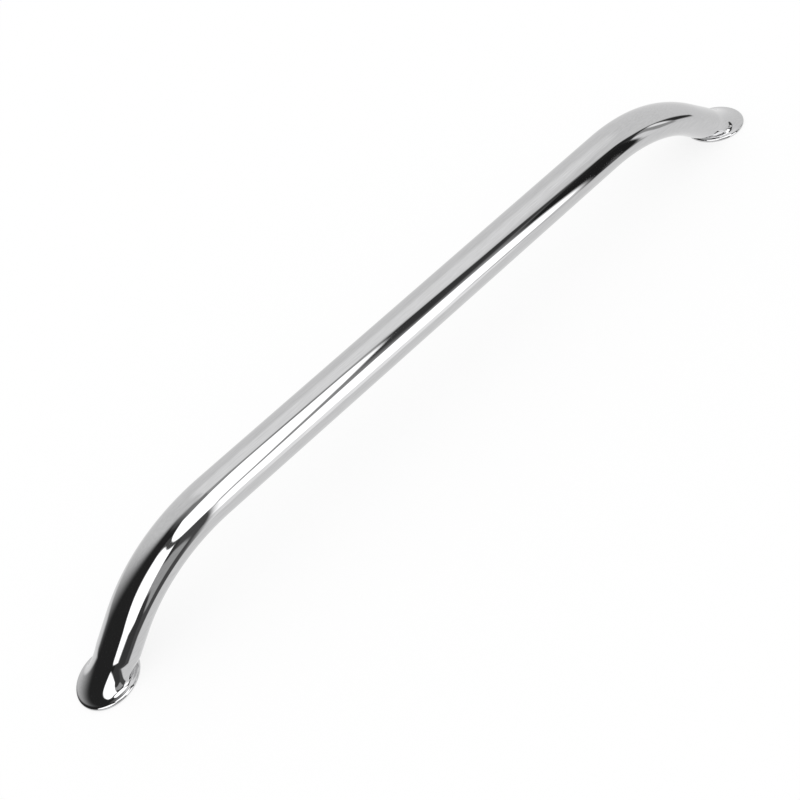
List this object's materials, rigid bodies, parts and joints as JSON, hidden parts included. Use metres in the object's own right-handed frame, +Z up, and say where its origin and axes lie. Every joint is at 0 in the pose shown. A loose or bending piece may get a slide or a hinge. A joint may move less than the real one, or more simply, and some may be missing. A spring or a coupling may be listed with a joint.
{
  "type": "boat grab rail",
  "caption": "Polished stainless grab rail: one bent tube on two flared round feet, fixed blind from below through tapped bushes.",
  "frame": {"origin": "midway between the two fixing centres, on the plane that the feet stand on", "axes": "+X along the rail, +Y across it, +Z up from the deck"},
  "size_m": [0.49, 0.033, 0.0556],
  "materials": {
    "polished_steel": "316 stainless, mirror polished",
    "underside_steel": "316 stainless, as cut and welded",
    "turned_steel": "316 stainless, turned"
  },
  "bodies": {
    "root": {"rail_tube": "polished_steel", "left_foot": "polished_steel", "right_foot": "polished_steel", "left_base_disc": "underside_steel", "right_base_disc": "underside_steel", "left_threaded_bush": "turned_steel", "right_threaded_bush": "turned_steel"}
  },
  "joints": []
}
